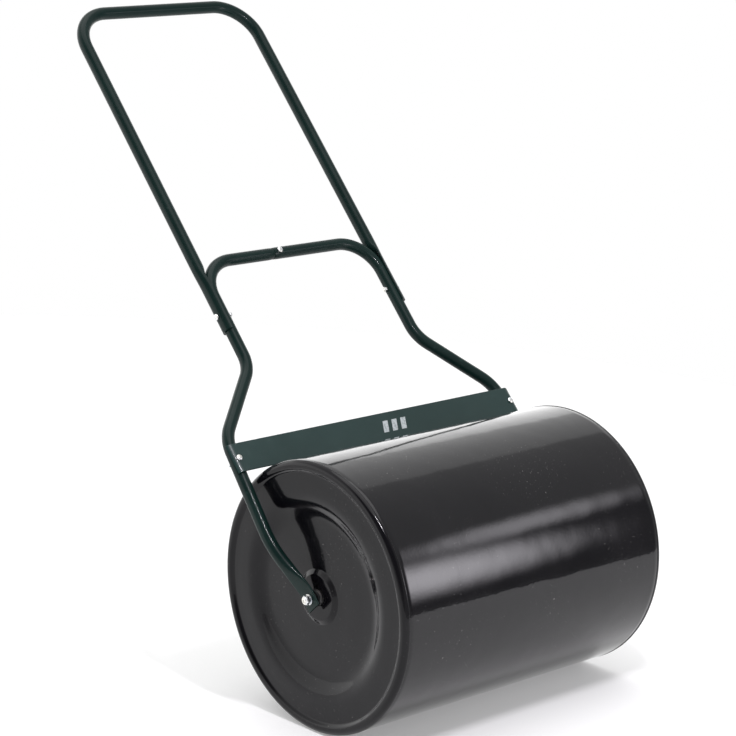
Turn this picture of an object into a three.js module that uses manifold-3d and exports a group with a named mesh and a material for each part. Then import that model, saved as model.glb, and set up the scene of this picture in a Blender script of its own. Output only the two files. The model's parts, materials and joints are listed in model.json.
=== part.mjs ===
// Lawn roller: a hollow steel drum on a fixed axle rod, two bent lower tubes bolted into a yoke,
// a scraper bar across them, and a long U-shaped handle bolted to the yoke.
// Millimetres. X runs along the axle, +Z is up, the origin is on the ground under the axle's middle.
// The yoke and handle lie in one plane through the axle that leans from the vertical towards +Y.

import * as THREE from 'three';
import * as BufferGeometryUtils from 'three/addons/utils/BufferGeometryUtils.js';
import Module from 'manifold-3d';

const wasm = await Module();
wasm.setup();

// ---- driving dimensions ----
const clear = 0.3;                 // air left between pieces that touch

const drumRadius = 200;
const drumHalf = 250;              // half the length of the rolled shell
const drumSides = 48;
const shellWall = 1.5;
const plateWall = 1.5;
const knuckleRadius = 8;           // rounded edge of an end plate
const rimPlane = 254.5;            // outer ring of an end plate, measured from the middle
const dishPlane = 244.5;           // recessed disc of an end plate
const bossPlane = 249;             // raised centre of an end plate
const dishOuter = 152;
const dishInner = 113;
const bossOuter = 40;
const bossInner = 34;

const sleeveRadius = 12;
const sleeveWall = 2;
const sleeveHalf = 252;
const bushFlange = 3;
const bushDepth = 25;
const rodRadius = 4;
const rodHalf = 271.5;

const leanDegrees = 41.5;          // lean of the handle plane from the vertical
const tubeRadius = 9.5;            // lower tubes
const tubeWall = 1.2;
const crossbarHeight = 564;        // distances up the plane from the axle
const yokeHalf = 169;
const yokeCorner = 60;
const paddleHalfThickness = 1.6;
const paddlePlane = 261.2;
const paddleBottom = -15;

const handleRadius = 10.1;
const handleHalf = 173.5;
const gripHeight = 1043;
const gripCorner = 65;
const handleBottom = 443;
const saddleTop = 518;             // the handle tube is pressed into a saddle up to here
const roundAgain = 560;
const handleBoltHeight = 470;

const scraperBottom = 209;
const scraperTop = 255;
const scraperHalf = 274;           // to the middle of the curled edge
const scraperThickness = 2.4;
const scraperBoltX = 274;
const scraperBoltHeight = 231;

const boltRadius = 2.5;
const boltHole = 3;
const headRadius = 4.8;
const headHeight = 3;
const boltNutFlats = 8;
const boltNutHeight = 4;
const boltTip = 5.5;                // how far a bolt reaches past the near face of its nut

// ---- materials ----
const paint = (name, color, roughness, metalness) =>
  Object.assign(new THREE.MeshStandardMaterial({ color, roughness, metalness }), { name });
const blackPaint = () => paint('black_paint', 0x0d0d0f, 0.18, 0.2);
const greenPaint = () => paint('green_paint', 0x1d3b36, 0.3, 0.2);
const zinc = () => paint('zinc', 0xc9ccd0, 0.35, 0.9);
const bareSteel = () => paint('bare_steel', 0x8a8d92, 0.45, 0.9);
const nylon = () => paint('nylon', 0x151515, 0.6, 0);
const sealRubber = () => paint('seal_rubber', 0x101010, 0.85, 0);

// ---- helpers for closed solids ----

// Merges shared corners and turns the faces outwards.
function closedGeometry(geometry) {
  const bare = geometry.index ? geometry.clone() : geometry;
  bare.deleteAttribute('normal');
  bare.deleteAttribute('uv');
  const merged = BufferGeometryUtils.mergeVertices(bare, 1e-4);
  const triangles = [];
  const old = merged.index.array;
  for (let i = 0; i < old.length; i += 3) {
    const [a, b, c] = [old[i], old[i + 1], old[i + 2]];
    if (a !== b && b !== c && c !== a) triangles.push(a, b, c);
  }
  if (signedVolume(merged.attributes.position, triangles) < 0) {
    for (let i = 0; i < triangles.length; i += 3) {
      [triangles[i], triangles[i + 1]] = [triangles[i + 1], triangles[i]];
    }
  }
  merged.setIndex(triangles);
  return merged;
}

function signedVolume(position, triangles) {
  const [a, b, c] = [new THREE.Vector3(), new THREE.Vector3(), new THREE.Vector3()];
  let volume = 0;
  for (let i = 0; i < triangles.length; i += 3) {
    a.fromBufferAttribute(position, triangles[i]);
    b.fromBufferAttribute(position, triangles[i + 1]);
    c.fromBufferAttribute(position, triangles[i + 2]);
    volume += a.dot(b.cross(c)) / 6;
  }
  return volume;
}

function toManifold(geometry) {
  const closed = closedGeometry(geometry);
  return new wasm.Manifold(new wasm.Mesh({
    numProp: 3,
    vertProperties: new Float32Array(closed.attributes.position.array),
    triVerts: new Uint32Array(closed.index.array),
  }));
}

function fromManifold(solid) {
  const mesh = solid.getMesh();
  const geometry = new THREE.BufferGeometry();
  geometry.setAttribute('position', new THREE.BufferAttribute(mesh.vertProperties, 3));
  geometry.setIndex(new THREE.BufferAttribute(mesh.triVerts, 1));
  return geometry;
}

// Cuts every drill out of a body.
function drilled(body, drills) {
  let solid = toManifold(body);
  for (const drill of drills) {
    solid = solid.subtract(toManifold(drill));
  }
  return fromManifold(solid);
}

// A prism along X, Y or Z from its low end to its high end; flat sides face across the axis.
function rod(axis, radius, low, high, sides = 12) {
  const geometry = new THREE.CylinderGeometry(radius, radius, high - low, sides);
  geometry.rotateY(Math.PI / sides);
  geometry.translate(0, (low + high) / 2, 0);
  if (axis === 'x') geometry.rotateZ(-Math.PI / 2);
  if (axis === 'z') geometry.rotateX(Math.PI / 2);
  return geometry;
}

// A flat ring along an axis, made as a closed profile turned about it.
function ring(axis, outer, inner, low, high, sides = 24) {
  const profile = [[inner, low], [outer, low], [outer, high], [inner, high], [inner, low]];
  return turned(profile, sides, axis);
}

// Turns a profile of [radius, height] points about an axis; flat facets face straight down.
function turned(profile, sides, axis = 'x') {
  const points = profile.map(([radius, height]) => new THREE.Vector2(radius, height));
  const geometry = new THREE.LatheGeometry(points, sides, Math.PI / sides);
  if (axis === 'x') geometry.rotateZ(-Math.PI / 2);
  if (axis === 'z') geometry.rotateX(Math.PI / 2);
  return geometry;
}

// ---- paths and lofts for bent tubes ----

// A line through corners [x, s, bend radius], returned as points with a unit direction at each.
function bentPath(corners, stepDegrees = 13) {
  const path = [];
  const at = ([x, s]) => new THREE.Vector2(x, s);
  for (let i = 0; i < corners.length; i += 1) {
    const here = at(corners[i]);
    if (i === 0 || i === corners.length - 1) {
      const [from, to] = i === 0 ? [here, at(corners[1])] : [at(corners[i - 1]), here];
      path.push({ point: here, direction: to.clone().sub(from).normalize() });
      continue;
    }
    const incoming = here.clone().sub(at(corners[i - 1])).normalize();
    const outgoing = at(corners[i + 1]).sub(here).normalize();
    const turn = Math.atan2(incoming.cross(outgoing), incoming.dot(outgoing));
    const radius = corners[i][2];
    const start = here.clone().addScaledVector(incoming, -radius * Math.tan(Math.abs(turn) / 2));
    const side = new THREE.Vector2(-incoming.y, incoming.x).multiplyScalar(Math.sign(turn));
    const centre = start.clone().addScaledVector(side, radius);
    const steps = Math.max(2, Math.round(Math.abs(turn) / THREE.MathUtils.degToRad(stepDegrees)));
    for (let k = 0; k <= steps; k += 1) {
      const angle = (turn * k) / steps;
      const spoke = start.clone().sub(centre).rotateAround(new THREE.Vector2(), angle);
      const direction = incoming.clone().rotateAround(new THREE.Vector2(), angle);
      path.push({ point: centre.clone().add(spoke), direction });
    }
  }
  return path;
}

// Adds points on the straight stretches, so that no step between two heights is longer than a limit.
function withSteps(path, low, high, limit) {
  const dense = [path[0]];
  for (let i = 1; i < path.length; i += 1) {
    const [from, to] = [path[i - 1], path[i]];
    const length = from.point.distanceTo(to.point);
    const inRange = Math.max(from.point.y, to.point.y) > low && Math.min(from.point.y, to.point.y) < high;
    const pieces = inRange ? Math.ceil(length / limit) : 1;
    for (let k = 1; k <= pieces; k += 1) {
      const point = from.point.clone().lerp(to.point, k / pieces);
      const direction = from.direction.clone().lerp(to.direction, k / pieces).normalize();
      dense.push({ point, direction });
    }
  }
  return dense;
}

// Skins rings of equal point count. A cap joins each point of the outer half to the one across it.
function loft(rings) {
  const count = rings[0].length;
  const triangles = [];
  const quad = (a, b, c, d) => triangles.push(a, b, c, a, c, d);
  for (let i = 0; i < rings.length - 1; i += 1) {
    for (let j = 0; j < count; j += 1) {
      const next = (j + 1) % count;
      quad(i * count + j, i * count + next, (i + 1) * count + next, (i + 1) * count + j);
    }
  }
  const last = (rings.length - 1) * count;
  const outer = (k) => (k - count / 4 + count) % count;
  const across = (k) => (count / 2 - 1 - outer(k) + count) % count;
  for (let k = 0; k < count / 2 - 1; k += 1) {
    quad(outer(k + 1), outer(k), across(k), across(k + 1));
    quad(last + outer(k), last + outer(k + 1), last + across(k + 1), last + across(k));
  }
  const geometry = new THREE.BufferGeometry().setFromPoints(rings.flat());
  geometry.setIndex(triangles);
  return geometry;
}

const smooth = (t) => THREE.MathUtils.smoothstep(t, 0, 1);

// ---- drum ----

const facetFlat = 1 / Math.cos(Math.PI / drumSides);   // puts the facets, not their corners, on the radius

function drumShell() {
  const inner = (drumRadius - shellWall) * facetFlat;
  return ring('x', drumRadius * facetFlat, inner, -drumHalf, drumHalf, drumSides);
}

// Centre line of an end plate, from its welded edge at the shell to the hole for the axle sleeve.
function plateCentreLine() {
  const half = plateWall / 2;
  const radius = knuckleRadius - half;
  const edge = drumHalf + clear;
  const knuckle = [0, 35, 70, 110, 150].map((degrees) => {
    const angle = THREE.MathUtils.degToRad(degrees);
    return [drumRadius - knuckleRadius + radius * Math.cos(angle), edge + 0.5 + radius * Math.sin(angle)];
  });
  const rim = rimPlane - half;
  const dish = dishPlane - half;
  const boss = bossPlane - half;
  const slope = [0, 0.2, 0.4, 0.6, 0.8, 1].map((share) => [
    THREE.MathUtils.lerp(dishOuter, dishInner, share),
    THREE.MathUtils.lerp(rim, dish, smooth(share)),
  ]);
  return [
    [drumRadius - half, edge], ...knuckle, [knuckle[4][0] - 3, rim], ...slope,
    [bossOuter, dish], [bossInner, boss], [sleeveRadius + clear + 0.2, boss],
  ];
}

// Gives a line of [radius, x] points a wall, by moving it half a wall to either side.
function walled(line, wall) {
  const sideAt = (i) => {
    const before = line[Math.max(i - 1, 0)];
    const after = line[Math.min(i + 1, line.length - 1)];
    const [dr, dx] = [after[0] - before[0], after[1] - before[1]];
    const length = Math.hypot(dr, dx);
    return [dx / length, -dr / length];
  };
  const shifted = (amount) => line.map(([r, x], i) => {
    const [sr, sx] = sideAt(i);
    return [r + sr * amount, x + sx * amount];
  });
  const outside = shifted(wall / 2);
  return [...outside, ...shifted(-wall / 2).reverse(), outside[0]];
}

function endPlate(side) {
  const profile = walled(plateCentreLine(), plateWall).map(([r, x]) => [r * facetFlat, x]);
  const geometry = turned(profile, drumSides);
  if (side < 0) geometry.rotateZ(Math.PI);
  return geometry;
}

const fillerRadius = 13;
const fillerOffset = 82;           // distance of the filler hole from the axle

// The far end plate has the hole of the water filler.
function filledEndPlate() {
  const hole = rod('x', fillerRadius + clear + 0.2, dishPlane - 10, dishPlane + 10, 20);
  hole.translate(0, 0, fillerOffset);
  return drilled(endPlate(1), [hole]);
}

// Threaded collar welded in the filler hole.
function fillerCollar() {
  const geometry = ring('x', fillerRadius, 9, dishPlane - 12, dishPlane + 3, 20);
  return geometry.translate(0, 0, fillerOffset);
}

function plugSeal() {
  const geometry = ring('x', 12.5, 9, dishPlane + 3 + clear, dishPlane + 5, 20);
  return geometry.translate(0, 0, fillerOffset);
}

// Screw plug: a round flange with a hexagonal grip and a shank down the collar.
function fillerPlug() {
  const base = dishPlane + 5 + clear;
  const shank = toManifold(rod('x', 8.4, dishPlane - 8, base + 1, 20));
  const flange = toManifold(rod('x', 12.5, base, base + 2, 20));
  const grip = toManifold(rod('x', 8.5, base + 1, base + 7, 6));
  return fromManifold(shank.add(flange).add(grip)).translate(0, 0, fillerOffset);
}

function axleSleeve() {
  return ring('x', sleeveRadius, sleeveRadius - sleeveWall, -sleeveHalf, sleeveHalf, 24);
}

const boreRadius = rodRadius + 0.35;
const bushOuter = sleeveHalf + clear + bushFlange;

// Flanged bush pressed in one end of the sleeve; the rod runs in its bore.
function bearingBush(side) {
  const spigot = sleeveRadius - sleeveWall - 0.35;
  const low = sleeveHalf + clear - bushDepth;
  const profile = [
    [boreRadius, low], [spigot, low], [spigot, sleeveHalf + clear],
    [sleeveRadius + 1, sleeveHalf + clear], [sleeveRadius + 1, bushOuter], [boreRadius, bushOuter],
    [boreRadius, low],
  ];
  return turned(profile.map(([r, x]) => [r, x * side]), 24);
}

// ---- axle ----

const paddleInner = paddlePlane - paddleHalfThickness;
const paddleOuter = paddlePlane + paddleHalfThickness;
const axleNutFlats = 13;
const axleNutHeight = 6;
const axleWasherRadius = 8;
const axleWasherThickness = 1.6;

function axleRod() {
  return rod('x', rodRadius, -rodHalf, rodHalf, 20);
}

function alongX(side, low, high) {
  return side > 0 ? [low, high] : [-high, -low];
}

function hubSpacer(side) {
  const [low, high] = alongX(side, bushOuter + 0.5, paddleInner - clear);
  return ring('x', 10, rodRadius + 0.3, low, high, 24);
}

function axleWasher(side) {
  const [low, high] = alongX(side, paddleOuter + clear, paddleOuter + clear + axleWasherThickness);
  return ring('x', axleWasherRadius, rodRadius + 0.3, low, high, 24);
}

// Hexagonal nut with a round bore.
function hexNut(axis, flats, bore, low, high) {
  const body = rod(axis, flats / Math.sqrt(3), low, high, 6);
  return drilled(body, [rod(axis, bore, low - 1, high + 1, 16)]);
}

function axleNut(side) {
  const start = paddleOuter + clear + axleWasherThickness + clear;
  const [low, high] = alongX(side, start, start + axleNutHeight);
  return hexNut('x', axleNutFlats, rodRadius + 0.3, low, high);
}

// ---- lower tubes; these and all pieces below are drawn in the leaning plane: x, s up it, b in front ----

const lowerCorners = [
  [0, crossbarHeight, 0],
  [yokeHalf, crossbarHeight, yokeCorner],
  [yokeHalf, 379, 55],
  [270, 270, 65],
  [282, 92, 150],
  [paddlePlane, 12, 40],
  [paddlePlane, paddleBottom, 0],
];
const squashTop = 62;
const squashBottom = 16;
const hollowEnd = 30;

// Half thickness of the lower tube at a height: round above, pressed flat at the paddle.
function pressedHalf(height) {
  const flat = smooth((squashTop - height) / (squashTop - squashBottom));
  return THREE.MathUtils.lerp(tubeRadius, paddleHalfThickness, flat);
}

// Cross-section of a tube pressed to a half thickness, keeping its girth: round, then a flat oval.
function pressedRing({ point, direction }, radius, half, sides = 12) {
  const straight = (Math.PI / 4) * (radius - half) * 2;
  const points = [];
  for (let i = 0; i < sides; i += 1) {
    const angle = ((i + 0.5) * 2 * Math.PI) / sides;
    const across = half * Math.cos(angle);
    const b = half * Math.sin(angle) + straight * Math.sign(Math.sin(angle));
    points.push(new THREE.Vector3(point.x - direction.y * across, point.y + direction.x * across, b));
  }
  return points;
}

function lowerTubePath(start) {
  const corners = lowerCorners.map((corner) => [...corner]);
  corners[0][0] = start;
  return withSteps(bentPath(corners), squashBottom - 4, squashTop, 6);
}

const spigotRadius = tubeRadius - tubeWall - clear;
const crossbarBoltX = -14;
const seamX = crossbarBoltX - 10;  // where the two halves of the crossbar meet
const spigotEnd = 8;

// A bent tube from the middle of the crossbar down to its flat paddle on the axle.
function lowerTube(side) {
  const start = side > 0 ? seamX : clear - seamX;
  const path = lowerTubePath(start);
  const outside = path.map((place) => pressedRing(place, tubeRadius, pressedHalf(place.point.y)));
  const hollowPath = path.filter((place) => place.point.y > hollowEnd);
  const bore = hollowPath.map((place) => {
    const half = pressedHalf(place.point.y) - tubeWall;
    return pressedRing(place, tubeRadius - tubeWall, Math.max(half, 0.4));
  });
  bore.unshift(bore[0].map((p) => p.clone().setX(start - 1)));
  let solid = toManifold(loft(outside)).subtract(toManifold(loft(bore)));
  if (side < 0) solid = solid.add(swagedSpigot());
  const bolts = [rod('z', boltHole, -20, 20).translate(scraperBoltX, scraperBoltHeight, 0)];
  bolts.push(rod('x', boltHole, 130, 200).translate(0, handleBoltHeight, 0));
  bolts.push(rod('x', rodRadius + clear + 0.2, 240, 280, 20));
  bolts.push(rod('z', boltHole, -20, 20).translate(side * crossbarBoltX, crossbarHeight, 0));
  for (const bolt of bolts) {
    solid = solid.subtract(toManifold(bolt));
  }
  const geometry = fromManifold(solid);
  if (side < 0) mirrorX(geometry);
  return geometry;
}

// Reduced end that slides into the other half; drawn on the +X side before it is mirrored.
function swagedSpigot() {
  const neck = 0.5 - seamX;
  const flare = tubeRadius - 0.1;
  const profile = [
    [spigotRadius, -spigotEnd], [spigotRadius, neck], [flare, neck + 4], [flare, neck + 8],
    [tubeRadius - tubeWall - 0.2, neck + 8], [spigotRadius - tubeWall, neck],
    [spigotRadius - tubeWall, -spigotEnd], [spigotRadius, -spigotEnd],
  ];
  return toManifold(turned(profile, 12).translate(0, crossbarHeight, 0));
}

function mirrorX(geometry) {
  geometry.scale(-1, 1, 1);
  const index = geometry.index.array;
  for (let i = 0; i < index.length; i += 3) {
    [index[i], index[i + 1]] = [index[i + 1], index[i]];
  }
  return geometry;
}

// ---- upper handle ----

const saddleInner = tubeRadius + 0.5;
const saddleOuter = saddleInner + 2 * tubeWall + 0.2;
const saddleSpread = THREE.MathUtils.degToRad(76);

// Handle cross-section at a place: a round tube, or a saddle round the lower tube's outboard side.
// The inset moves the line inwards for the bore, which is a thin slit inside the saddle.
function handleRing({ point, direction }, inset, sides = 16) {
  const onLeg = Math.abs(point.x) > handleHalf - 0.5;
  const saddle = onLeg ? 1 - smooth((point.y - saddleTop) / (roundAgain - saddleTop)) : 0;
  const lastTurn = Math.PI / 2 - Math.PI / sides;
  const points = [];
  for (let i = 0; i < sides; i += 1) {
    const angle = ((i + 0.5) * 2 * Math.PI) / sides;
    const outer = Math.cos(angle) > 0;
    const turn = Math.asin(Math.sin(angle));
    const spread = (turn / lastTurn) * (saddleSpread - inset / saddleInner);
    const radius = outer ? saddleOuter - inset : saddleInner + inset;
    const round = handleRadius - inset;
    const pressed = yokeHalf - handleHalf + radius * Math.cos(spread);
    const across = THREE.MathUtils.lerp(round * Math.cos(angle), pressed, saddle);
    const b = THREE.MathUtils.lerp(round * Math.sin(angle), radius * Math.sin(spread), saddle);
    points.push(new THREE.Vector3(point.x + direction.y * across, point.y - direction.x * across, b));
  }
  return points;
}

// A ring's copy pushed past the tube's end, so that the bore breaks through.
function pushed(points, { direction }, amount) {
  const step = new THREE.Vector3(direction.x, direction.y, 0).multiplyScalar(amount);
  return points.map((p) => p.clone().add(step));
}

function upperHandle() {
  const corners = [
    [handleHalf, handleBottom, 0],
    [handleHalf, gripHeight, gripCorner],
    [-handleHalf, gripHeight, gripCorner],
    [-handleHalf, handleBottom, 0],
  ];
  const legTop = gripHeight - gripCorner;
  const path = bentPath(corners, 12);
  const saddleSteps = [0, 0.25, 0.42, 0.58, 0.75, 1];
  const leg = (side) => saddleSteps.map((t) => ({
    point: new THREE.Vector2(side * handleHalf, THREE.MathUtils.lerp(saddleTop, roundAgain, t)),
    direction: new THREE.Vector2(0, side),
  }));
  const bends = path.slice(1, -1).filter(({ point }) => point.y >= legTop - 1);
  const places = [path[0], ...leg(1), ...bends, ...leg(-1).reverse(), path[path.length - 1]];
  const outside = places.map((place) => handleRing(place, 0));
  const bore = places.map((place) => handleRing(place, tubeWall));
  bore.unshift(pushed(bore[0], places[0], -1));
  bore.push(pushed(bore[bore.length - 1], places[places.length - 1], 1));
  const holes = [-1, 1].map((side) => {
    const [low, high] = alongX(side, 130, 200);
    return rod('x', boltHole, low, high).translate(0, handleBoltHeight, 0);
  });
  return drilled(loft(outside), [loft(bore), ...holes]);
}

// ---- scraper bar ----

const scraperBack = 11;            // gap between the handle plane and the bar's back face
const curlSweep = THREE.MathUtils.degToRad(48);

// Flat bar whose two ends curl back round the tubes, as a section along X pushed up the plane.
function scraperBar() {
  const front = scraperBack + scraperThickness;
  const steps = [1, 2, 3, 4].map((k) => (k * curlSweep) / 4);
  const edge = (radius) => steps.map((a) => [scraperHalf + radius * Math.sin(a), radius * Math.cos(a)]);
  const outer = [[scraperHalf, front], ...edge(front)];
  const right = [...outer, ...edge(scraperBack).reverse(), [scraperHalf, scraperBack]];
  const left = [...right].reverse().map(([x, b]) => [-x, b]);
  const shape = new THREE.Shape([...right, ...left].map(([x, b]) => new THREE.Vector2(x, -b)));
  const depth = scraperTop - scraperBottom;
  const geometry = new THREE.ExtrudeGeometry(shape, { depth, bevelEnabled: false });
  geometry.rotateX(-Math.PI / 2).translate(0, scraperBottom, 0);
  const holes = [-1, 1].map((side) =>
    rod('z', boltHole, 0, 30).translate(side * scraperBoltX, scraperBoltHeight, 0));
  return drilled(geometry, holes);
}

// ---- bolts and nuts of the frame; each is drawn along its own axis ----

// A dome-headed bolt: the head rests at 'seat' and the shank runs towards 'tip'.
function domeBolt(axis, seat, tip) {
  const way = Math.sign(tip - seat);
  const length = Math.abs(tip - seat);
  const whole = [
    [0, headHeight], [0.45 * headRadius, 0.9 * headHeight], [0.82 * headRadius, 0.6 * headHeight],
    [headRadius, 0.2 * headHeight], [headRadius, 0], [boltRadius, 0], [boltRadius, -length], [0, -length],
  ];
  return turned(whole.map(([r, h]) => [r, seat - way * h]), 16, axis);
}

const saddleCrest = yokeHalf + saddleOuter;
const yokeInboard = yokeHalf - tubeRadius;

function handleFixing(side) {
  const seat = saddleCrest + clear;
  const at = (geometry) => geometry.translate(0, handleBoltHeight, 0);
  const nutStart = yokeInboard - clear;
  const [nutLow, nutHigh] = alongX(side, nutStart - boltNutHeight, nutStart);
  return {
    bolt: at(domeBolt('x', side * seat, side * (nutStart - boltTip))),
    nut: at(hexNut('x', boltNutFlats, boltRadius + 0.25, nutLow, nutHigh)),
  };
}

function scraperFixing(side) {
  const face = scraperBack + scraperThickness;
  const at = (geometry) => geometry.translate(side * scraperBoltX, scraperBoltHeight, 0);
  const nutStart = -tubeRadius - clear;
  return {
    bolt: at(domeBolt('z', face + clear, nutStart - boltTip)),
    nut: at(hexNut('z', boltNutFlats, boltRadius + 0.25, nutStart - boltNutHeight, nutStart)),
  };
}

function crossbarFixing() {
  const at = (geometry) => geometry.translate(crossbarBoltX, crossbarHeight, 0);
  const nutStart = -tubeRadius - clear;
  return {
    bolt: at(domeBolt('z', tubeRadius + clear, nutStart - boltTip)),
    nut: at(hexNut('z', boltNutFlats, boltRadius + 0.25, nutStart - boltNutHeight, nutStart)),
  };
}

// ---- assembly ----

const roller = new THREE.Group();
const axleGroup = new THREE.Group();
axleGroup.position.z = drumRadius;
const leaningGroup = new THREE.Group();
leaningGroup.position.z = drumRadius;
leaningGroup.rotation.x = THREE.MathUtils.degToRad(90 - leanDegrees);
roller.add(axleGroup, leaningGroup);

function place(group, name, geometry, material) {
  const mesh = new THREE.Mesh(closedGeometry(geometry), material);
  mesh.name = name;
  group.add(mesh);
}

place(axleGroup, 'drum_shell', drumShell(), blackPaint());
place(axleGroup, 'end_plate_left', endPlate(-1), blackPaint());
place(axleGroup, 'end_plate_right', filledEndPlate(), blackPaint());
place(axleGroup, 'filler_collar', fillerCollar(), bareSteel());
place(axleGroup, 'plug_seal', plugSeal(), sealRubber());
place(axleGroup, 'filler_plug', fillerPlug(), nylon());
place(axleGroup, 'axle_sleeve', axleSleeve(), bareSteel());
place(axleGroup, 'axle_rod', axleRod(), zinc());

for (const [side, word] of [[-1, 'left'], [1, 'right']]) {
  place(axleGroup, `bearing_bush_${word}`, bearingBush(side), nylon());
  place(axleGroup, `hub_spacer_${word}`, hubSpacer(side), nylon());
  place(axleGroup, `axle_washer_${word}`, axleWasher(side), zinc());
  place(axleGroup, `axle_nut_${word}`, axleNut(side), zinc());
  place(leaningGroup, `lower_tube_${word}`, lowerTube(side), greenPaint());
  const handle = handleFixing(side);
  place(leaningGroup, `handle_bolt_${word}`, handle.bolt, zinc());
  place(leaningGroup, `handle_nut_${word}`, handle.nut, zinc());
  const scraper = scraperFixing(side);
  place(leaningGroup, `scraper_bolt_${word}`, scraper.bolt, zinc());
  place(leaningGroup, `scraper_nut_${word}`, scraper.nut, zinc());
}

place(leaningGroup, 'scraper_bar', scraperBar(), greenPaint());
place(leaningGroup, 'upper_handle', upperHandle(), greenPaint());
const crossbar = crossbarFixing();
place(leaningGroup, 'crossbar_bolt', crossbar.bolt, zinc());
place(leaningGroup, 'crossbar_nut', crossbar.nut, zinc());

export default roller;
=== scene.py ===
import json
import math

import bmesh
import bpy
import numpy as np
from mathutils import Matrix, Vector


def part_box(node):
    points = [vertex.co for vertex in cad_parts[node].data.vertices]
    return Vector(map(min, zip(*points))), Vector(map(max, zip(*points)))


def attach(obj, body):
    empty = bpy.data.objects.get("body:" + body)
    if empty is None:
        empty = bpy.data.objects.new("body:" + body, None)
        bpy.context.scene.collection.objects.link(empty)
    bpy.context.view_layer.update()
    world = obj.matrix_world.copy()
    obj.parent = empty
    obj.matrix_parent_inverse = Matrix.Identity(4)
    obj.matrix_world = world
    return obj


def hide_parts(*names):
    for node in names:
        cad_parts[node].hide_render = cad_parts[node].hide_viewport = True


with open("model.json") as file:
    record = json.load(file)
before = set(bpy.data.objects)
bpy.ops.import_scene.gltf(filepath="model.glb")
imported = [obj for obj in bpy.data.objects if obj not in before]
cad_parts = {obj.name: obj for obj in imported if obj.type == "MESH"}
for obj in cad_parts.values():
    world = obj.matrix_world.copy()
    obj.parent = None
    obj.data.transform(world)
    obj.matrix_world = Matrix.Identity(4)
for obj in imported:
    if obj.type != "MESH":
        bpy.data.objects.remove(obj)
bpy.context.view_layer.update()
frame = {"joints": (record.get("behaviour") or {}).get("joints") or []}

# ---------------------------------------------------------------------------------------------
# Camera. A long lens a little above the drum, looking past the plain end plate along the axle,
# so that the drum sits low on the right and the handle leans up to the left.
view_turn = math.radians(-41.16)
view_rise = math.radians(12.53)
view_distance = 3.603
drum_right_of_centre = 0.1165
drum_below_centre = 0.2912
camera_slip = 0.0032
axle_height = frame["joints"][0]["pos_m"][2]

view_right = Vector((math.cos(view_turn), math.sin(view_turn), 0))
view_back = Vector((math.sin(view_turn) * math.cos(view_rise),
                    -math.cos(view_turn) * math.cos(view_rise), math.sin(view_rise)))
view_up = view_back.cross(view_right)
camera_place = (Vector((camera_slip, 0, axle_height)) + view_back * view_distance
                - view_right * drum_right_of_centre + view_up * drum_below_centre)

camera_data = bpy.data.cameras.new("camera")
camera_data.sensor_width = 36
camera_data.lens = 118.06
camera_data.clip_end = 50
camera = bpy.data.objects.new("camera", camera_data)
camera.matrix_world = Matrix.Translation(camera_place) @ Matrix(
    (view_right, view_up, view_back)).transposed().to_4x4()
bpy.context.scene.collection.objects.link(camera)
bpy.context.scene.camera = camera

# ---------------------------------------------------------------------------------------------
# Drum shell. Sheet steel rolled into a cylinder and butt-welded along one line, then sprayed
# gloss black. The sheet keeps a faint waviness from the rolls, which bends its reflections.
drum_low, drum_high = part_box("drum_shell")
drum_radius = (drum_high.z - drum_low.z) / 2
drum_half = drum_high.x
sheet = 0.0015
bead_height = 0.0003
wave_depth = 0.00010
seam_angle = math.radians(215)


def skinned(name, rings, path_closed=False, sharp=35):
    """A skin over rings[i, j]: one face between each four neighbours, j running round a ring.
    A ring is its outer half and then its inner half walked back, so that an open end is closed
    by strips from each point of the outer half to the one across it."""
    rows, columns = rings.shape[:2]
    row = np.arange(rows if path_closed else rows - 1)[:, None] * columns
    after = (row + columns) % (rows * columns)
    here = np.arange(columns)[None, :]
    there = (here + 1) % columns
    faces = np.stack([row + here, row + there, after + there, after + here], -1).reshape(-1, 4)
    if not path_closed:
        k = np.arange(columns // 2 - 1)
        strips = np.stack([k + 1, k, columns - 1 - k, columns - 2 - k], -1)
        faces = np.vstack([faces, strips, strips[:, ::-1] + (rows - 1) * columns])
    points = rings.reshape(-1, 3)
    a, b, c, d = (points[faces[:, n]] for n in range(4))
    volume = np.einsum("ij,ij->i", a, np.cross(b, c)) + np.einsum("ij,ij->i", a, np.cross(c, d))
    if volume.sum() < 0:
        faces = faces[:, ::-1]
    mesh = bpy.data.meshes.new(name)
    mesh.from_pydata(points.tolist(), [], faces.tolist())
    work = bmesh.new()
    work.from_mesh(mesh)
    bmesh.ops.remove_doubles(work, verts=work.verts, dist=1e-7)
    work.to_mesh(mesh)
    work.free()
    mesh.shade_smooth()
    mesh.set_sharp_from_angle(angle=math.radians(sharp))
    piece = bpy.data.objects.new(name, mesh)
    bpy.context.scene.collection.objects.link(piece)
    return piece


def turned(profile, steps, origin, axis=(1, 0, 0), rim=None, ripple=None):
    """Rings of a profile of (radius, height) turned about an axis: point = origin + axis * height
    + radius * (u cos a + v sin a). rim(a) caps the radius; ripple(a, height) is taken off it."""
    axis = np.array(axis, float)
    first = np.cross(axis, (0, 1, 0)) if abs(axis[1]) < 0.5 else np.cross(axis, (1, 0, 0))
    first /= np.linalg.norm(first)
    second = np.cross(axis, first)
    angle = (np.arange(steps) * 2 * math.pi / steps)[:, None]
    radius, height = np.array(profile, float).T
    radius = np.broadcast_to(radius, (steps, len(height)))
    if rim is not None:
        radius = np.minimum(radius, rim(angle))
    if ripple is not None:
        radius = radius - ripple(angle, height[None, :])
    out = np.cos(angle)[..., None] * first + np.sin(angle)[..., None] * second
    return np.array(origin, float) + height[None, :, None] * axis + radius[..., None] * out


def finished(piece, body, slot, paint, *nodes):
    """Gives a piece its material and its body, and hides the nodes it stands for; slot is not used."""
    piece.data.materials.clear()
    piece.data.materials.append(paint)
    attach(piece, body)
    if nodes:
        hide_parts(*nodes)
    return piece


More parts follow.
